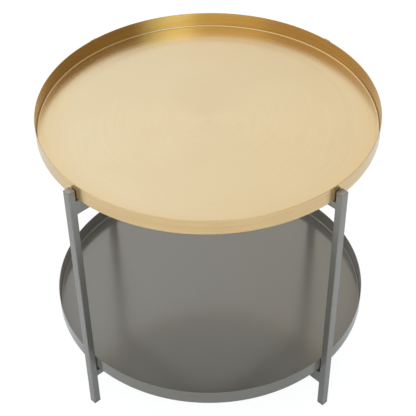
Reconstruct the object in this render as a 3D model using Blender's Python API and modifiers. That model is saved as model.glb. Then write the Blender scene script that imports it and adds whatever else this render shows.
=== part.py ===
"""Two-tier round tray table.

A welded frame of square steel tube carries two loose round trays. Four upright legs stand on the
diagonals, just outside the tray rims, with their sides square to the diagonals. Under each tray two
bars cross between the legs: a deep bar with a notch in its top at mid-length, and a square bar that
lies in the notch, so that the tops of both bars are level. The upper deep bar runs from front left to
back right and the lower one from front right to back left. Rubber pads on the bars carry the trays,
thin ones above and taller ones below.

Metres, +Z up. The floor is z = 0, the origin is under the middle of the table, front is -Y, left is -X.
"""

from math import cos, pi, radians, sin, sqrt

import bmesh
import bpy

# Trays: pressed from sheet, with an upright rim
TRAY_DIAMETER = 0.550
TRAY_HEIGHT = 0.0285
TRAY_SHEET = 0.0012
TRAY_INNER_CORNER = 0.0025

# Frame tube: legs and square bars share one section, deep bars share its width and wall
TUBE_WIDTH = 0.013
TUBE_WALL = 0.001
TUBE_INNER_CORNER = 0.0005
DEEP_BAR_HEIGHT = 0.026

# Layout of the frame
LEG_CLEARANCE = 0.0008
LOWER_BAR_TOP = 0.078
BAR_SPACING = 0.388
LEG_ABOVE_BARS = 0.0215

# Caps, glides and pads
CAP_THICKNESS = 0.002
CAP_EDGE = 0.0008
GLIDE_HEIGHT = 0.002
GLIDE_EDGE = 0.0006
GLIDE_PLUG_LENGTH = 0.010
GLIDE_PLUG_CLEARANCE = 0.0003
UPPER_PAD_THICKNESS = 0.0024
LOWER_PAD_THICKNESS = 0.0084
PAD_EDGE_MARGIN = 0.0015
PAD_FROM_RIM = 0.060

# Gap between pieces that rest on or butt against each other
SEAT_GAP = 0.0003

# Facets of round shapes
TRAY_FACETS = 80
TRAY_CORNER_FACETS = 4
RIM_EDGE_FACETS = 4
TUBE_CORNER_FACETS = 3
SMALL_EDGE_FACETS = 2
PAD_FACETS = 24
SMOOTH_ANGLE = radians(40)

# Sizes that follow from those above
tray_radius = TRAY_DIAMETER / 2
tray_outer_corner = TRAY_INNER_CORNER + TRAY_SHEET
tube_outer_corner = TUBE_WALL + TUBE_INNER_CORNER
leg_inner_face = tray_radius + LEG_CLEARANCE
leg_offset = (leg_inner_face + TUBE_WIDTH / 2) / sqrt(2)
bar_length = 2 * (leg_inner_face - SEAT_GAP)
upper_bar_top = LOWER_BAR_TOP + BAR_SPACING
leg_top = upper_bar_top + LEG_ABOVE_BARS
pad_offset = (tray_radius - PAD_FROM_RIM) / sqrt(2)

CORNERS = {
    "front_left": (-1, -1),
    "front_right": (1, -1),
    "back_left": (-1, 1),
    "back_right": (1, 1),
}
DIAGONAL = radians(45)
FRONT_LEFT_TO_BACK_RIGHT = DIAGONAL
FRONT_RIGHT_TO_BACK_LEFT = -DIAGONAL


def clear_scene():
    for old in list(bpy.data.objects):
        bpy.data.objects.remove(old, do_unlink=True)


def new_collection(name):
    collection = bpy.data.collections.new(name)
    bpy.context.scene.collection.children.link(collection)
    return collection


def new_material(name, color, metallic, roughness):
    material = bpy.data.materials.new(name)
    material.use_nodes = True
    shader = material.node_tree.nodes["Principled BSDF"]
    shader.inputs["Base Color"].default_value = (*color, 1.0)
    shader.inputs["Metallic"].default_value = metallic
    shader.inputs["Roughness"].default_value = roughness
    return material


def mesh_from(shape, name):
    mesh = bpy.data.meshes.new(name)
    shape.to_mesh(mesh)
    shape.free()
    return mesh


def add_part(name, mesh, material, location, turn=(0.0, 0.0, 0.0)):
    part = bpy.data.objects.new(name, mesh)
    mesh.materials.append(material)
    part.location = location
    part.rotation_euler = turn
    parts.objects.link(part)
    return part


def add_frame_part(name, mesh, material, location, turn=(0.0, 0.0, 0.0)):
    part = add_part(name, mesh, material, location, turn)
    part.parent = frame
    return part


def box_shape(size_x, size_y, size_z):
    shape = bmesh.new()
    bmesh.ops.create_cube(shape, size=1.0)
    bmesh.ops.scale(shape, vec=(size_x, size_y, size_z), verts=shape.verts)
    return shape


def upright_edges(box):
    return [edge for edge in box.edges if edge.verts[0].co.z != edge.verts[1].co.z]


def end_face(shape, upward):
    """Highest face of a shape, or its lowest where upward is -1."""
    return max(shape.faces, key=lambda face: upward * face.calc_center_median().z)


def round_edges(shape, edges, radius, facets):
    bmesh.ops.bevel(shape, geom=edges, offset=radius, segments=facets, profile=0.5, affect="EDGES")


def arc(center_x, center_z, radius, start, end, facets):
    points = []
    for step in range(facets + 1):
        angle = start + (end - start) * step / facets
        points.append((center_x + radius * cos(angle), center_z + radius * sin(angle)))
    return points


def tray_profile():
    """Half section, from the middle of the floor over the rim and down to the middle of the underside."""
    wall_inside = tray_radius - TRAY_SHEET
    rim_edge = TRAY_SHEET / 2
    profile = [(0.0, TRAY_SHEET)]
    profile += arc(wall_inside - TRAY_INNER_CORNER, TRAY_SHEET + TRAY_INNER_CORNER, TRAY_INNER_CORNER,
                   -pi / 2, 0, TRAY_CORNER_FACETS)
    profile += arc(tray_radius - rim_edge, TRAY_HEIGHT - rim_edge, rim_edge, pi, 0, RIM_EDGE_FACETS)
    profile += arc(tray_radius - tray_outer_corner, tray_outer_corner, tray_outer_corner,
                   0, -pi / 2, TRAY_CORNER_FACETS)
    profile.append((0.0, 0.0))
    return profile


def make_tray(name, material, bar_top, pad_thickness):
    shape = bmesh.new()
    verts = [shape.verts.new((x, 0.0, z)) for x, z in tray_profile()]
    for first, second in zip(verts, verts[1:]):
        shape.edges.new((first, second))
    place = (0.0, 0.0, bar_top + SEAT_GAP + pad_thickness + SEAT_GAP)
    tray = add_part(name, mesh_from(shape, name), material, place)
    turn = tray.modifiers.new("turn", "SCREW")
    turn.axis = "Z"
    turn.steps = TRAY_FACETS
    turn.render_steps = TRAY_FACETS
    turn.use_merge_vertices = True
    turn.merge_threshold = 0.00001
    turn.use_smooth_shade = True


def make_tube(name, section_x, section_y, length, location, turn):
    """Rectangular tube along its own Z, open at both ends."""
    shape = box_shape(section_x, section_y, length)
    bmesh.ops.delete(shape, geom=[end_face(shape, 1), end_face(shape, -1)], context="FACES_ONLY")
    tube = add_frame_part(name, mesh_from(shape, name), frame_paint, location, turn)
    corners = tube.modifiers.new("corners", "BEVEL")
    corners.width = tube_outer_corner
    corners.segments = TUBE_CORNER_FACETS
    corners.limit_method = "ANGLE"
    wall = tube.modifiers.new("wall", "SOLIDIFY")
    wall.thickness = TUBE_WALL
    wall.offset = -1
    wall.use_even_offset = True
    return tube


def make_leg(corner, side_x, side_y):
    bottom = GLIDE_HEIGHT + SEAT_GAP
    top = leg_top - CAP_THICKNESS - SEAT_GAP
    place = (side_x * leg_offset, side_y * leg_offset, (bottom + top) / 2)
    make_tube("leg_" + corner, TUBE_WIDTH, TUBE_WIDTH, top - bottom, place, (0.0, 0.0, DIAGONAL))


def make_cap(corner, side_x, side_y):
    shape = box_shape(TUBE_WIDTH, TUBE_WIDTH, CAP_THICKNESS)
    round_edges(shape, upright_edges(shape), tube_outer_corner, TUBE_CORNER_FACETS)
    round_edges(shape, list(end_face(shape, 1).edges), CAP_EDGE, SMALL_EDGE_FACETS)
    place = (side_x * leg_offset, side_y * leg_offset, leg_top - CAP_THICKNESS / 2)
    name = "leg_cap_" + corner
    add_frame_part(name, mesh_from(shape, name), frame_paint, place, (0.0, 0.0, DIAGONAL))


def make_glide(corner, side_x, side_y):
    """Square foot as wide as the tube, with a plug that goes up into the tube."""
    shape = box_shape(TUBE_WIDTH, TUBE_WIDTH, GLIDE_HEIGHT)
    corners = upright_edges(shape)
    seat = end_face(shape, 1)
    bmesh.ops.inset_region(shape, faces=[seat], thickness=TUBE_WALL + GLIDE_PLUG_CLEARANCE,
                           use_even_offset=True)
    plug_end = bmesh.ops.extrude_discrete_faces(shape, faces=[seat])["faces"][0]
    bmesh.ops.translate(shape, vec=(0.0, 0.0, GLIDE_PLUG_LENGTH), verts=plug_end.verts)
    round_edges(shape, corners, tube_outer_corner, TUBE_CORNER_FACETS)
    round_edges(shape, list(end_face(shape, -1).edges), GLIDE_EDGE, SMALL_EDGE_FACETS)
    place = (side_x * leg_offset, side_y * leg_offset, GLIDE_HEIGHT / 2)
    name = "foot_glide_" + corner
    add_frame_part(name, mesh_from(shape, name), glide_plastic, place, (0.0, 0.0, DIAGONAL))


def make_bar(name, height, bar_top, yaw):
    place = (0.0, 0.0, bar_top - height / 2)
    return make_tube(name, height, TUBE_WIDTH, bar_length, place, (0.0, pi / 2, yaw))


def cut_notch(bar, bar_top, yaw):
    """Opens the top of a deep bar at mid-length, for the square bar that crosses it."""
    width = TUBE_WIDTH + 2 * SEAT_GAP
    depth = TUBE_WIDTH + SEAT_GAP
    height = 2 * depth
    cutter = bpy.data.objects.new(bar.name + "_notch", mesh_from(box_shape(width, width, height), "notch"))
    cutter.location = (0.0, 0.0, bar_top - depth + height / 2)
    cutter.rotation_euler = (0.0, 0.0, yaw)
    cutter.hide_render = True
    cutter.display_type = "WIRE"
    cutters.objects.link(cutter)
    notch = bar.modifiers.new("notch", "BOOLEAN")
    notch.operation = "DIFFERENCE"
    notch.object = cutter


def make_cross(tier, bar_top, deep_yaw, square_yaw):
    deep = make_bar(tier + "_deep_bar", DEEP_BAR_HEIGHT, bar_top, deep_yaw)
    cut_notch(deep, bar_top, deep_yaw)
    make_bar(tier + "_square_bar", TUBE_WIDTH, bar_top, square_yaw)


def make_pad(tier, corner, bar_top, thickness, side_x, side_y):
    radius = TUBE_WIDTH / 2 - PAD_EDGE_MARGIN
    shape = bmesh.new()
    bmesh.ops.create_cone(shape, cap_ends=True, segments=PAD_FACETS, radius1=radius, radius2=radius,
                          depth=thickness)
    name = tier + "_pad_" + corner
    mesh = mesh_from(shape, name)
    mesh.shade_smooth()
    mesh.set_sharp_from_angle(angle=SMOOTH_ANGLE)
    place = (side_x * pad_offset, side_y * pad_offset, bar_top + SEAT_GAP + thickness / 2)
    add_frame_part(name, mesh, pad_rubber, place)


clear_scene()
parts = new_collection("two_tier_tray_table")
cutters = new_collection("cutters")
frame = bpy.data.objects.new("frame", None)
parts.objects.link(frame)

gold_finish = new_material("satin gold", (0.78, 0.60, 0.34), 1.0, 0.32)
grey_finish = new_material("satin pewter", (0.27, 0.27, 0.255), 1.0, 0.34)
frame_paint = new_material("grey metallic paint", (0.28, 0.275, 0.26), 0.3, 0.45)
glide_plastic = new_material("dark grey plastic", (0.06, 0.06, 0.058), 0.0, 0.55)
pad_rubber = new_material("black rubber", (0.03, 0.03, 0.03), 0.0, 0.8)

for corner, (side_x, side_y) in CORNERS.items():
    make_leg(corner, side_x, side_y)
    make_cap(corner, side_x, side_y)
    make_glide(corner, side_x, side_y)
    make_pad("upper", corner, upper_bar_top, UPPER_PAD_THICKNESS, side_x, side_y)
    make_pad("lower", corner, LOWER_BAR_TOP, LOWER_PAD_THICKNESS, side_x, side_y)

make_cross("upper", upper_bar_top, FRONT_LEFT_TO_BACK_RIGHT, FRONT_RIGHT_TO_BACK_LEFT)
make_cross("lower", LOWER_BAR_TOP, FRONT_RIGHT_TO_BACK_LEFT, FRONT_LEFT_TO_BACK_RIGHT)

make_tray("top_tray", gold_finish, upper_bar_top, UPPER_PAD_THICKNESS)
make_tray("lower_tray", grey_finish, LOWER_BAR_TOP, LOWER_PAD_THICKNESS)
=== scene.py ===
import math

import bmesh
import bpy
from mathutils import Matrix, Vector


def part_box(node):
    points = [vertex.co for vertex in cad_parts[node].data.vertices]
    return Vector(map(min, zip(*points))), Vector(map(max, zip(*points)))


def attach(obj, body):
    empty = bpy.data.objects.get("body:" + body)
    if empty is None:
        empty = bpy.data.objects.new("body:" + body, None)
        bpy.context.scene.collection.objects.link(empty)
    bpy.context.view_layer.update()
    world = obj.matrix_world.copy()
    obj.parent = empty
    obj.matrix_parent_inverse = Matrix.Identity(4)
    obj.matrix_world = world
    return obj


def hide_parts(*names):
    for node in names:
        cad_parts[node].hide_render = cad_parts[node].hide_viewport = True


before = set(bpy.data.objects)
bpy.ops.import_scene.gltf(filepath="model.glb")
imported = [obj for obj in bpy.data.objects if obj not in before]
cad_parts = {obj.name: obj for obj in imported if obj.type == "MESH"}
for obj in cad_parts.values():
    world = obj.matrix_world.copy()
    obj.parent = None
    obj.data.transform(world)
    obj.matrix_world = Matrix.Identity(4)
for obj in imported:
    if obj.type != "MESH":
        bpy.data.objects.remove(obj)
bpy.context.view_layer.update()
print("frame loaded:", len(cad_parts), "nodes")


# Working in Blender: select by place, add nodes, hand a piece over

limits = {
    "near": 1e-5,         # metres, as good as the same place
    "facing": 0.9,        # least share of a normal that points the asked way
    "upright": 0.001,     # metres, least rise of an upright edge
    "lengthways": 0.1,    # metres, least length of an edge along a bar
}
diagonal = math.radians(45)


def freshStart():
    if bpy.context.mode != "OBJECT":
        bpy.ops.object.mode_set(mode="OBJECT")
    bpy.ops.object.select_all(action="DESELECT")


def activate(piece):
    freshStart()
    piece.select_set(True)
    bpy.context.view_layer.objects.active = piece


def pick(kind, test):
    mesh = bpy.context.edit_object.data
    bpy.ops.mesh.select_mode(type={"faces": "FACE", "edges": "EDGE"}[kind])
    bpy.ops.mesh.select_all(action="DESELECT")
    shape = bmesh.from_edit_mesh(mesh)
    for item in getattr(shape, kind):
        item.select_set(bool(test(item)))
    bmesh.update_edit_mesh(mesh)


def upright(edge):
    return abs(edge.verts[0].co.z - edge.verts[1].co.z) > limits["upright"]


def addBlock(size, place, yaw):
    freshStart()
    bpy.ops.mesh.primitive_cube_add(size=1, rotation=(0, 0, yaw), location=place)
    block = bpy.context.active_object
    block.scale = size
    bpy.ops.object.transform_apply(location=False, rotation=False, scale=True)
    return block


def roundOff(offset, steps, profile=0.5):
    # a profile of one half is a quarter circle
    bpy.ops.mesh.bevel(offset=offset, segments=steps, profile=profile, affect="EDGES")


def applyModifier(piece, kind, **settings):
    modifier = piece.modifiers.new(kind.lower(), kind)
    for key, value in settings.items():
        setattr(modifier, key, value)
    bpy.ops.object.modifier_apply(modifier=modifier.name)


def shadeSmooth(angle):
    # round corners look round, and the flat faces beside them stay flat
    bpy.ops.object.shade_smooth_by_angle(angle=math.radians(angle))
    applyModifier(bpy.context.active_object, "WEIGHTED_NORMAL", keep_sharp=True)


def settle(piece, name):
    # place and turn go into the mesh, so the object itself sits at the origin
    activate(piece)
    bpy.ops.object.transform_apply(location=True, rotation=True, scale=True)
    piece.name = name
    piece.data.name = name


def copyPiece(piece, name, shift):
    activate(piece)
    bpy.ops.object.duplicate(linked=False)
    twin = bpy.context.active_object
    bpy.ops.transform.translate(value=shift)
    settle(twin, name)
    return twin


def handOver(piece, body, slotName, finish, *nodes):
    piece.data.materials.clear()
    piece.data.materials.append(finish)
    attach(piece, body)
    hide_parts(*nodes)


def hexColor(text):
    # sRGB hex to linear light
    channels = [int(text[i:i + 2], 16) / 255 for i in (1, 3, 5)]
    return tuple(c / 12.92 if c <= 0.04045 else ((c + 0.055) / 1.055) ** 2.4
                 for c in channels) + (1.0,)


def addNode(tree, kind, settings=None, links=None):
    node = tree.nodes.new(kind)
    for key, value in (settings or {}).items():
        if isinstance(key, str) and hasattr(node, key):
            setattr(node, key, value)
        else:
            node.inputs[key].default_value = value
    for key, source in (links or {}).items():
        tree.links.new(source, node.inputs[key])
    return node


def mixColors(tree, share, first, second):
    # each colour is a hex text or another node's output
    settings, links = {"data_type": "RGBA"}, {0: share}
    for key, color in ((6, first), (7, second)):
        if isinstance(color, str):
            settings[key] = hexColor(color)
        else:
            links[key] = color
    return addNode(tree, "ShaderNodeMix", settings, links).outputs[2]


def mapRange(tree, value, low, high, toLow=0.0, toHigh=1.0):
    return addNode(tree, "ShaderNodeMapRange",
                   {"From Min": low, "From Max": high, "To Min": toLow, "To Max": toHigh},
                   {"Value": value}).outputs[0]


def noise(tree, place, size, detail):
    return addNode(tree, "ShaderNodeTexNoise", {"Scale": 1 / size, "Detail": detail},
                   {"Vector": place}).outputs["Fac"]


def newFinish(name):
    finish = bpy.data.materials.new(name)
    finish.use_nodes = True
    tree = finish.node_tree
    place = addNode(tree, "ShaderNodeTexCoord").outputs["Object"]
    return finish, tree, tree.nodes["Principled BSDF"], place


def setSockets(shader, sockets):
    for socket, value in sockets.items():
        shader.inputs[socket].default_value = value


# Trays: pressed dishes with an upright rim, the lower one with a flat floor

trayLow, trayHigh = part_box("top_tray")
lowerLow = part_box("lower_tray")[0]
tray = {
    "radius": trayHigh.x,
    "bottom": trayLow.z,
    "height": trayHigh.z - trayLow.z,
    "sheet": 0.0012,          # metal thickness
    "insideBend": 0.0025,     # radius where the floor turns up into the rim
    "bendSteps": 6,
    "sides": 288,
    "dishStart": 0.232,       # from here the top tray's floor rises a little towards the rim
    "dishEdge": 0.0020,       # its height over the underside at the bend
    "dishMiddle": 0.0004,     # and in the middle
    "dishPower": 1.25,
    "dishRings": 12,
    "floorRings": (0.054, 0.06, 0.06, 0.04),
    "edgeRound": 0.0004,      # the rim's cut edge, eased by hand
    "edgeSteps": 3,
    "edgeAngle": 60,          # degrees, sharper edges than this are eased
    "smoothAngle": 40,
}


def makeTray(name, bottom, edgeHeight, middleHeight):
    freshStart()
    inside = tray["radius"] - tray["sheet"]
    rimHeight = tray["height"] - edgeHeight
    bpy.ops.mesh.primitive_circle_add(vertices=tray["sides"], radius=inside, fill_type="NGON",
                                      location=(0, 0, bottom + edgeHeight))
    dish = bpy.context.active_object
    bpy.ops.object.mode_set(mode="EDIT")
    # up the inside of the rim, over its edge, down the outside and across underneath
    pick("edges", lambda edge: True)
    bpy.ops.mesh.extrude_edges_move(TRANSFORM_OT_translate={"value": (0, 0, rimHeight)})
    bpy.ops.mesh.extrude_edges_move(TRANSFORM_OT_translate={"value": (0, 0, 0)})
    wider = tray["radius"] / inside
    bpy.ops.transform.resize(value=(wider, wider, 1),
                             center_override=(0, 0, bottom + tray["height"]))
    bpy.ops.mesh.extrude_edges_move(TRANSFORM_OT_translate={"value": (0, 0, -tray["height"])})
    bpy.ops.mesh.edge_face_add()
    bpy.ops.mesh.select_all(action="SELECT")
    bpy.ops.mesh.normals_make_consistent(inside=False)
    for level, bend in ((0, tray["insideBend"]), (-edgeHeight, tray["insideBend"] + tray["sheet"])):
        pick("edges", lambda edge: all(abs(v.co.z - level) < limits["near"] for v in edge.verts))
        roundOff(bend, tray["bendSteps"])
    # the floor drops from the bend in rings, ever more gently, and is flat inside the last one
    pick("faces", lambda face: len(face.verts) == tray["sides"]
         and face.normal.z > limits["facing"])
    ringWidth = (inside - tray["insideBend"] - tray["dishStart"]) / tray["dishRings"]
    for ring in range(tray["dishRings"], 0, -1):
        outer, inner = ((n / tray["dishRings"]) ** tray["dishPower"] for n in (ring, ring - 1))
        bpy.ops.mesh.inset(thickness=ringWidth, depth=(middleHeight - edgeHeight) * (outer - inner))
    for width in tray["floorRings"]:
        bpy.ops.mesh.inset(thickness=width)
    bpy.ops.mesh.poke()
    pick("faces", lambda face: len(face.verts) == tray["sides"])     # the underside
    for width in tray["floorRings"]:
        bpy.ops.mesh.inset(thickness=width)
    bpy.ops.mesh.poke()
    bpy.ops.object.mode_set(mode="OBJECT")
    applyModifier(dish, "BEVEL", width=tray["edgeRound"], segments=tray["edgeSteps"],
                  limit_method="ANGLE", angle_limit=math.radians(tray["edgeAngle"]))
    shadeSmooth(tray["smoothAngle"])
    settle(dish, name)
    return dish


topTray = makeTray("topTray", trayLow.z, tray["dishEdge"], tray["dishMiddle"])
lowerTray = makeTray("lowerTray", lowerLow.z, tray["sheet"], tray["sheet"])
print("trays:", len(topTray.data.polygons), "faces each")


# Legs: square tube with a closed top, on the diagonals

cadCorner = {"FrontLeft": "front_left", "FrontRight": "front_right",
             "BackLeft": "back_left", "BackRight": "back_right"}
firstLegLow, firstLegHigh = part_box("leg_front_left")
tube = {"width": 0.013, "wall": 0.001, "cornerRound": 0.0015, "cornerSteps": 5, "smoothAngle": 35}
leg = {
    "middle": (firstLegLow + firstLegHigh) / 2,
    "bottom": firstLegLow.z,
    "top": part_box("leg_cap_front_left")[1].z,
    "topRound": 0.0008,
    "topSteps": 3,
    "socketDepth": 0.013,     # open lower end that takes the glide's plug
}


def makeLeg():
    length = leg["top"] - leg["bottom"]
    post = addBlock((tube["width"], tube["width"], length),
                    (leg["middle"].x, leg["middle"].y, leg["bottom"] + length / 2), diagonal)
    bpy.ops.object.mode_set(mode="EDIT")
    pick("edges", upright)
    roundOff(tube["cornerRound"], tube["cornerSteps"])
    pick("edges", lambda edge: min(v.co.z for v in edge.verts) > length / 2 - limits["near"])
    roundOff(leg["topRound"], leg["topSteps"])
    pick("faces", lambda face: face.normal.z < -limits["facing"])
    bpy.ops.mesh.inset(thickness=tube["wall"], use_even_offset=True)
    bpy.ops.mesh.extrude_region_move(TRANSFORM_OT_translate={"value": (0, 0, leg["socketDepth"])})
    bpy.ops.object.mode_set(mode="OBJECT")
    shadeSmooth(tube["smoothAngle"])
    settle(post, "legFrontLeft")
    return post


legs = {"FrontLeft": makeLeg()}
for corner, cadName in cadCorner.items():
    if corner not in legs:
        nodeLow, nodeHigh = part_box("leg_" + cadName)
        shift = (nodeLow + nodeHigh) / 2 - leg["middle"]
        legs[corner] = copyPiece(legs["FrontLeft"], "leg" + corner, shift)
print("legs:", len(legs))


# Bars: two crossed bars under each tray, welded between the legs

cross = {
    "squareHeight": 0.013,
    "deepHeight": 0.026,
    "notchPlay": 0.0003,      # the square bar lies loose in the notch before it is welded
    "weld": 0.0018,           # fillet on top of and under each bar end
    "weldShare": 0.96,        # of the fillet's block that is hollowed away
    "weldSteps": 5,
    "weldProfile": 0.12,      # hollow face, as a wiped weld has
    "weldSink": 0.0002,       # the fillet's foot goes this far into bar and leg
}
legInnerFace = leg["middle"].xy.length - tube["width"] / 2


def makeBar(name, height, top, yaw):
    # a bar runs on past the leg's rounded corners, so that bar and leg are flush at the sides
    length = 2 * (legInnerFace + tube["cornerRound"])
    bar = addBlock((length, tube["width"], height), (0, 0, top - height / 2), yaw)
    bpy.ops.object.mode_set(mode="EDIT")
    pick("edges", lambda edge: abs(edge.verts[0].co.x - edge.verts[1].co.x) > limits["lengthways"])
    roundOff(tube["cornerRound"], tube["cornerSteps"])
    bpy.ops.object.mode_set(mode="OBJECT")
    settle(bar, name)
    return bar


def joinIn(piece, tool, operation):
    activate(piece)
    applyModifier(piece, "BOOLEAN", operation=operation, object=tool, solver="EXACT")
    bpy.data.objects.remove(tool, do_unlink=True)


def cutNotch(bar, top, yaw):
    width = tube["width"] + 2 * cross["notchPlay"]
    depth = cross["squareHeight"] + cross["notchPlay"]
    joinIn(bar, addBlock((width, 2 * width, 2 * depth), (0, 0, top), yaw), "DIFFERENCE")


def addWelds(bar, height, top, yaw):
    size, sink = cross["weld"], cross["weldSink"]
    length = tube["width"] - 2 * tube["cornerRound"]
    for end in (-1, 1):
        for face in (-1, 1):
            away = end * (legInnerFace - size / 2)
            level = top + size / 2 if face > 0 else top - height - size / 2
            bead = addBlock((size, length, size),
                            (away * math.cos(yaw), away * math.sin(yaw), level), yaw)
            bpy.ops.object.mode_set(mode="EDIT")
            pick("edges", lambda edge: all(v.co.x * end < 0 and v.co.z * face > 0
                                           for v in edge.verts))
            roundOff(size * cross["weldShare"], cross["weldSteps"], cross["weldProfile"])
            bpy.ops.mesh.select_all(action="SELECT")
            bpy.ops.transform.translate(value=(end * sink * math.cos(yaw),
                                               end * sink * math.sin(yaw), -face * sink))
            bpy.ops.object.mode_set(mode="OBJECT")
            joinIn(bar, bead, "UNION")


bars = {}
for tier, deepYaw in (("upper", diagonal), ("lower", -diagonal)):
    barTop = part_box(tier + "_deep_bar")[1].z
    deep = makeBar(tier + "DeepBar", cross["deepHeight"], barTop, deepYaw)
    cutNotch(deep, barTop, deepYaw)
    addWelds(deep, cross["deepHeight"], barTop, deepYaw)
    square = makeBar(tier + "SquareBar", cross["squareHeight"], barTop, -deepYaw)
    addWelds(square, cross["squareHeight"], barTop, -deepYaw)
    for bar, node in ((deep, "_deep_bar"), (square, "_square_bar")):
        activate(bar)
        shadeSmooth(tube["smoothAngle"])
        bars[tier + node] = bar
print("bars:", len(bars))


# Glides and pads: modelled once each, then copied to their places

glideLow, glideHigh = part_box("foot_glide_front_left")
glide = {
    "headHeight": 0.002,
    "edgeRound": 0.0006,
    "edgeSteps": 3,
    "plugGap": 0.0003,
    "plugTaper": 0.92,
}
pad = {
    "sides": 48,
    "edgeRound": 0.0005,
    "edgeSteps": 3,
    "dishWidth": 0.0016,
    "dishDepth": 0.0003,
    "smoothAngle": 40,
}


def makeGlide():
    middle = (glideLow + glideHigh) / 2
    headHeight = glide["headHeight"]
    foot = addBlock((tube["width"], tube["width"], headHeight),
                    (middle.x, middle.y, glideLow.z + headHeight / 2), diagonal)
    bpy.ops.object.mode_set(mode="EDIT")
    pick("edges", upright)
    roundOff(tube["cornerRound"], tube["cornerSteps"])
    pick("edges", lambda edge: max(v.co.z for v in edge.verts) < limits["near"] - headHeight / 2)
    roundOff(glide["edgeRound"], glide["edgeSteps"])
    pick("faces", lambda face: face.normal.z > limits["facing"])
    bpy.ops.mesh.inset(thickness=tube["wall"] + glide["plugGap"], use_even_offset=True)
    plugLength = glideHigh.z - glideLow.z - headHeight
    bpy.ops.mesh.extrude_region_move(TRANSFORM_OT_translate={"value": (0, 0, plugLength)})
    bpy.ops.transform.resize(value=(glide["plugTaper"], glide["plugTaper"], 1))
    bpy.ops.object.mode_set(mode="OBJECT")
    shadeSmooth(tube["smoothAngle"])
    settle(foot, "footGlideFrontLeft")
    return foot


def makePad(tier):
    freshStart()
    low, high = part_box(tier + "_pad_front_left")
    bpy.ops.mesh.primitive_cylinder_add(vertices=pad["sides"], radius=(high.x - low.x) / 2,
                                        depth=high.z - low.z, location=(low + high) / 2)
    disc = bpy.context.active_object
    bpy.ops.object.mode_set(mode="EDIT")
    pick("edges", lambda edge: abs(edge.verts[0].co.z - edge.verts[1].co.z) < limits["near"])
    roundOff(pad["edgeRound"], pad["edgeSteps"])
    pick("faces", lambda face: face.normal.z > limits["facing"])
    bpy.ops.mesh.inset(thickness=pad["dishWidth"])
    bpy.ops.mesh.extrude_region_move(TRANSFORM_OT_translate={"value": (0, 0, -pad["dishDepth"])})
    bpy.ops.object.mode_set(mode="OBJECT")
    shadeSmooth(pad["smoothAngle"])
    settle(disc, tier + "PadFrontLeft")
    return disc


glides = {"FrontLeft": makeGlide()}
pads = {(tier, "FrontLeft"): makePad(tier) for tier in ("upper", "lower")}
for corner, cadName in cadCorner.items():
    if corner not in glides:
        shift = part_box("foot_glide_" + cadName)[0] - glideLow
        glides[corner] = copyPiece(glides["FrontLeft"], "footGlide" + corner, shift)
    for tier in ("upper", "lower"):
        if (tier, corner) not in pads:
            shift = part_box(tier + "_pad_" + cadName)[0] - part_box(tier + "_pad_front_left")[0]
            pads[tier, corner] = copyPiece(pads[tier, "FrontLeft"], tier + "Pad" + corner, shift)
print("glides and pads:", len(glides), len(pads))


# Brass-plated steel, brushed in circles on a turntable and clear lacquered: pale satin gold with
# fine rings about the middle and soft blurred reflections. The rim, inside and out, and the floor
# next to it are painted a deeper gold: painted reflection and shade where the rim and floor
# mirror each other
brass = {
    # pale and deep are the plate's own tones; edge is painted reflection, the floor's gold deepened
    # where the wall is mirrored in it
    "pale": "#E6D2A8", "deep": "#E1CA9E", "edge": "#E3C996",
    # painted shade: the rim's inside and outside golds are shaded copies of the floor's gold,
    # darker inside
    "paintedInsideDark": "#C49A55", "paintedInsideLight": "#D4AB64",
    "paintedOutsideDark": "#E4BF87", "paintedOutsideLight": "#F0D199",
    "underside": "#E6E9EC",
    "ringSpacing": 0.0036,    # real scratches are near 0.1 mm, drawn coarser so that they show
    "ringDetail": 1.5,
    "ringBump": 0.02, "ringDepth": 0.0002,
    "strokeLength": 0.110,
    "cloudSize": 0.090, "cloudDetail": 2.0, "cloudShare": 0.4,
    "toneLow": 0.3, "toneHigh": 0.7,            # part of the noise that spans the two tones
    "roughLow": 0.19, "roughHigh": 0.25, "wallRough": 0.26,
    "wallStart": 0.2728, "wallEnd": 0.2735,     # the floor bends up into the wall between these
    "skinStart": 0.2741, "skinEnd": 0.2746,     # inside and outside of the wall's sheet
    "bareEdge": 0.2520,       # underside is left as bare satin steel within this radius
    "paintedReflectionStart": 0.223,       # painted reflection: the floor's gold is drawn deeper from here to the wall, for the wall mirrored in it
    "sockets": {"Metallic": 1.0, "Anisotropic": 0.8, "Anisotropic Rotation": 0.25,
                "Coat Weight": 0.6, "Coat Roughness": 0.2},     # the coat is the clear lacquer
}


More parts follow.
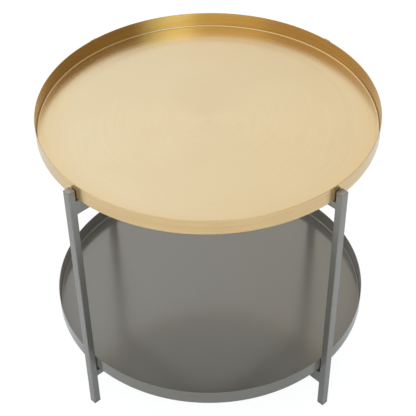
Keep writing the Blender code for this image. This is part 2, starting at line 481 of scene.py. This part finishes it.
def makeBrass():
    finish, tree, shader, place = newFinish("circular brushed brass plate")
    flat = addNode(tree, "ShaderNodeVectorMath", {"operation": "MULTIPLY", 1: (1, 1, 0)},
                   {0: place}).outputs[0]
    radius = addNode(tree, "ShaderNodeVectorMath", {"operation": "LENGTH"},
                     {0: flat}).outputs["Value"]
    around = addNode(tree, "ShaderNodeVectorMath", {"operation": "NORMALIZE"}, {0: flat})
    stroke = addNode(tree, "ShaderNodeVectorMath",
                     {"operation": "SCALE", "Scale": tray["radius"] / brass["strokeLength"]},
                     {0: around.outputs[0]})
    strokeParts = addNode(tree, "ShaderNodeSeparateXYZ", None, {0: stroke.outputs[0]})
    height = addNode(tree, "ShaderNodeSeparateXYZ", None, {0: place}).outputs[2]
    # rings are counted out along the floor, then up the wall
    across = addNode(tree, "ShaderNodeMath", {"operation": "ADD"}, {0: radius, 1: height})
    ringNumber = addNode(tree, "ShaderNodeMath",
                         {"operation": "DIVIDE", 1: brass["ringSpacing"]}, {0: across.outputs[0]})
    ringPlace = addNode(tree, "ShaderNodeCombineXYZ", None,
                        {0: ringNumber.outputs[0], 1: strokeParts.outputs[0],
                         2: strokeParts.outputs[1]})
    rings = noise(tree, ringPlace.outputs[0], 1.0, brass["ringDetail"])
    clouds = noise(tree, place, brass["cloudSize"], brass["cloudDetail"])
    blend = addNode(tree, "ShaderNodeMix", {"data_type": "FLOAT", 0: brass["cloudShare"]},
                    {2: rings, 3: clouds}).outputs[0]
    tone = mapRange(tree, blend, brass["toneLow"], brass["toneHigh"])
    # painted reflection: the floor's gold is drawn deeper towards the wall, where the wall is
    # mirrored in it
    paintedReflectionShare = mapRange(tree, radius, brass["paintedReflectionStart"], brass["wallStart"])
    insideShare = mapRange(tree, radius, brass["wallStart"], brass["wallEnd"])
    paintedOutsideShare = mapRange(tree, radius, brass["skinStart"], brass["skinEnd"])
    color = mixColors(tree, tone, brass["deep"], brass["pale"])
    color = mixColors(tree, paintedReflectionShare, color, brass["edge"])
    # painted shade: the rim's inside gets a dark deep gold and its outside a deeper gold than the
    # floor, for the dimmer surroundings the rim mirrors
    paintedInsideColor = mixColors(tree, tone, brass["paintedInsideDark"], brass["paintedInsideLight"])
    color = mixColors(tree, insideShare, color, paintedInsideColor)
    paintedOutsideColor = mixColors(tree, tone, brass["paintedOutsideDark"], brass["paintedOutsideLight"])
    color = mixColors(tree, paintedOutsideShare, color, paintedOutsideColor)
    below = addNode(tree, "ShaderNodeMath",
                    {"operation": "LESS_THAN", 1: tray["bottom"] + tray["dishMiddle"] / 2},
                    {0: height})
    within = addNode(tree, "ShaderNodeMath", {"operation": "LESS_THAN", 1: brass["bareEdge"]},
                     {0: radius})
    bare = addNode(tree, "ShaderNodeMath", {"operation": "MULTIPLY"},
                   {0: below.outputs[0], 1: within.outputs[0]})
    color = mixColors(tree, bare.outputs[0], color, brass["underside"])
    rough = mapRange(tree, rings, brass["toneLow"], brass["toneHigh"],
                     brass["roughLow"], brass["roughHigh"])
    rough = addNode(tree, "ShaderNodeMix", {"data_type": "FLOAT", 3: brass["wallRough"]},
                    {0: insideShare, 2: rough})
    bump = addNode(tree, "ShaderNodeBump",
                   {"Strength": brass["ringBump"], "Distance": brass["ringDepth"]},
                   {"Height": rings})
    tangent = addNode(tree, "ShaderNodeTangent", {"direction_type": "RADIAL", "axis": "Z"})
    setSockets(shader, brass["sockets"])
    tree.links.new(color, shader.inputs["Base Color"])
    tree.links.new(rough.outputs[0], shader.inputs["Roughness"])
    tree.links.new(bump.outputs[0], shader.inputs["Normal"])
    tree.links.new(tangent.outputs[0], shader.inputs["Tangent"])
    return finish


# Grey metallic lacquer sprayed on pressed steel, with a clear top coat: even mid grey with a fine
# flake, smooth enough to mirror the legs as soft dark bands, and bright where the rim is seen at a
# flat angle
lacquer = {
    "light": "#847F74", "dark": "#7E796E",
    "sockets": {"Metallic": 0.39, "Coat Weight": 0.8, "Coat Roughness": 0.17},
    "fleckSize": 0.0009,      # real flake is near 0.05 mm, drawn coarser so that it shows
    "cloudSize": 0.070,
    "peelSize": 0.005, "peelBump": 0.03,
    "roughLow": 0.155, "roughHigh": 0.19,
}


# Metallic powder coat on welded tube: the same grey, a little duller, with a fine orange peel; its
# flake takes up the white floor on one side of a tube and the dark tray on the other
powder = {
    "light": "#9F9C95", "dark": "#97948D",
    "sockets": {"Metallic": 0.7},
    "fleckSize": 0.0011,      # coarser than real flake, as above
    "cloudSize": 0.060,
    "peelSize": 0.0018, "peelBump": 0.10,
    "roughLow": 0.21, "roughHigh": 0.28,
}
grain = {"fleckShare": 0.5, "cloudDetail": 3.0, "peelDetail": 1.0, "mouldDetail": 2.0,
         "bumpDepth": 0.0001}     # for the painted and the moulded finishes


def makeGrey(name, recipe):
    finish, tree, shader, place = newFinish(name)
    flecks = addNode(tree, "ShaderNodeTexVoronoi", {"Scale": 1 / recipe["fleckSize"]},
                     {"Vector": place})
    fleckTone = addNode(tree, "ShaderNodeSeparateColor", None,
                        {0: flecks.outputs["Color"]}).outputs[0]
    clouds = noise(tree, place, recipe["cloudSize"], grain["cloudDetail"])
    tone = addNode(tree, "ShaderNodeMix", {"data_type": "FLOAT", 0: grain["fleckShare"]},
                   {2: fleckTone, 3: clouds}).outputs[0]
    color = mixColors(tree, tone, recipe["dark"], recipe["light"])
    rough = mapRange(tree, clouds, 0.0, 1.0, recipe["roughLow"], recipe["roughHigh"])
    peel = noise(tree, place, recipe["peelSize"], grain["peelDetail"])
    bump = addNode(tree, "ShaderNodeBump",
                   {"Strength": recipe["peelBump"], "Distance": grain["bumpDepth"]},
                   {"Height": peel})
    setSockets(shader, recipe["sockets"])
    tree.links.new(color, shader.inputs["Base Color"])
    tree.links.new(rough, shader.inputs["Roughness"])
    tree.links.new(bump.outputs[0], shader.inputs["Normal"])
    return finish


# Moulded polypropylene glide and black nitrile pad: dull, nearly black, with a fine moulded grain
plastic = {"light": "#3A3A39", "dark": "#333332", "grainSize": 0.0007, "bump": 0.12,
           "sockets": {"Roughness": 0.55}}
rubber = {"light": "#2C2C2B", "dark": "#242423", "grainSize": 0.0009, "bump": 0.2,
          "sockets": {"Roughness": 0.8}}


def makeDull(name, recipe):
    finish, tree, shader, place = newFinish(name)
    speckle = noise(tree, place, recipe["grainSize"], grain["mouldDetail"])
    color = mixColors(tree, speckle, recipe["dark"], recipe["light"])
    bump = addNode(tree, "ShaderNodeBump",
                   {"Strength": recipe["bump"], "Distance": grain["bumpDepth"]},
                   {"Height": speckle})
    setSockets(shader, recipe["sockets"])
    tree.links.new(color, shader.inputs["Base Color"])
    tree.links.new(bump.outputs[0], shader.inputs["Normal"])
    return finish


brassPlate = makeBrass()
greyLacquer = makeGrey("grey metallic lacquer", lacquer)
greyPowder = makeGrey("grey powder coat", powder)
blackPlastic = makeDull("moulded polypropylene", plastic)
blackRubber = makeDull("nitrile rubber", rubber)

handOver(topTray, "top_tray", "gold", brassPlate, "top_tray")
handOver(lowerTray, "lower_tray", "grey_tray", greyLacquer, "lower_tray")
for corner, piece in legs.items():
    handOver(piece, "frame", "frame_paint", greyPowder, "leg_" + cadCorner[corner],
             "leg_cap_" + cadCorner[corner])
for node, piece in bars.items():
    handOver(piece, "frame", "frame_paint", greyPowder, node)
for corner, piece in glides.items():
    handOver(piece, "frame", "glide", blackPlastic, "foot_glide_" + cadCorner[corner])
for (tier, corner), piece in pads.items():
    handOver(piece, "frame", "pad", blackRubber, tier + "_pad_" + cadCorner[corner])
print("finishes on")


# Camera: where the photograph was taken from

camera = {
    "place": (0.0368, -1.3704, 1.5005),
    "ahead": (-0.0211, 0.7456, -0.6661),
    "roll": 0.0142,
    "lens": 91.95,
    "sensor": 36.0,
    "farthest": 60.0,
}
bpy.ops.object.camera_add(location=camera["place"])
cameraPiece = bpy.context.active_object
cameraPiece.rotation_euler = Vector(camera["ahead"]).to_track_quat("-Z", "Y").to_euler()
cameraPiece.rotation_euler.rotate_axis("Z", -camera["roll"])
cameraPiece.data.lens = camera["lens"]
cameraPiece.data.sensor_width = camera["sensor"]
cameraPiece.data.clip_end = camera["farthest"]
bpy.context.scene.camera = cameraPiece


# Studio: a pale floor in an evenly lit room, with large soft panels round the table

studio = {
    "floorSize": 24.0,
    "floorTint": 0.60,
    "shadowShare": 0.12, "glow": 0.94,      # floor as the camera sees it
    "mirrorShare": 0.96,                    # floor as polished surfaces see it
    "roomLevel": 0.38, "roomTint": "#FFF9F2",
    "panels": (     # towards, full within and gone beyond these degrees, strength, tint
        ((-0.09, 0.49, 0.87), 27, 47, 0.58, "#FFFAF1"),     # above and behind, the main light
        ((-0.83, -0.20, 0.58), 20, 54, 0.46, "#F0F4FF"),    # left
        ((-0.06, -0.79, 0.60), 14, 40, 0.93, "#E9F9FF"),    # front
        ((0.385, -0.718, 0.58), 4, 22, 2.8, "#B0DAFF"),     # front right, small and bright
        ((-0.34, 0.73, 0.60), 6, 30, 0.32, "#90C0FF"),      # cool edge of the main light
    ),
}


def makeFloor():
    freshStart()
    bpy.ops.mesh.primitive_plane_add(size=studio["floorSize"], location=(0, 0, 0))
    floor = bpy.context.active_object
    floor.name = "studioFloor"
    finish = bpy.data.materials.new("matt white sweep")
    finish.use_nodes = True
    tree = finish.node_tree
    tree.nodes.clear()

    def matt(share):
        return addNode(tree, "ShaderNodeBsdfDiffuse",
                       {"Color": (share, share, share, 1)}).outputs[0]

    rays = addNode(tree, "ShaderNodeLightPath")
    mirrored = addNode(tree, "ShaderNodeMath", {"operation": "MAXIMUM"},
                       {0: rays.outputs["Is Glossy Ray"], 1: rays.outputs["Is Transmission Ray"]})
    light = addNode(tree, "ShaderNodeEmission",
                    {"Color": (1, 1, 1, 1), "Strength": studio["glow"]})
    seen = addNode(tree, "ShaderNodeAddShader", None,
                   {0: matt(studio["shadowShare"]), 1: light.outputs[0]})
    mixed = addNode(tree, "ShaderNodeMixShader", None,
                    {0: mirrored.outputs[0], 1: matt(studio["floorTint"]),
                     2: matt(studio["mirrorShare"])})
    mixed = addNode(tree, "ShaderNodeMixShader", None,
                    {0: rays.outputs["Is Camera Ray"], 1: mixed.outputs[0], 2: seen.outputs[0]})
    addNode(tree, "ShaderNodeOutputMaterial", None, {0: mixed.outputs[0]})
    floor.data.materials.append(finish)


def makeRoom():
    world = bpy.data.worlds.new("soft white panels")
    bpy.context.scene.world = world
    world.use_nodes = True
    tree = world.node_tree
    tree.nodes.clear()
    direction = addNode(tree, "ShaderNodeTexCoord").outputs["Generated"]
    room = addNode(tree, "ShaderNodeBackground",
                   {"Color": hexColor(studio["roomTint"]), "Strength": studio["roomLevel"]})
    for towards, within, beyond, strength, tint in studio["panels"]:
        facing = addNode(tree, "ShaderNodeVectorMath",
                         {"operation": "DOT_PRODUCT", 1: Vector(towards).normalized()},
                         {0: direction})
        share = addNode(tree, "ShaderNodeMapRange",
                        {"interpolation_type": "SMOOTHSTEP",
                         "From Min": math.cos(math.radians(beyond)),
                         "From Max": math.cos(math.radians(within)), "To Max": strength},
                        {"Value": facing.outputs["Value"]})
        panel = addNode(tree, "ShaderNodeBackground", {"Color": hexColor(tint)},
                        {"Strength": share.outputs[0]})
        room = addNode(tree, "ShaderNodeAddShader", None,
                       {0: room.outputs[0], 1: panel.outputs[0]})
    addNode(tree, "ShaderNodeOutputWorld", None, {0: room.outputs[0]})


makeFloor()
makeRoom()
bpy.context.scene.view_settings.view_transform = "Standard"
print("studio set")
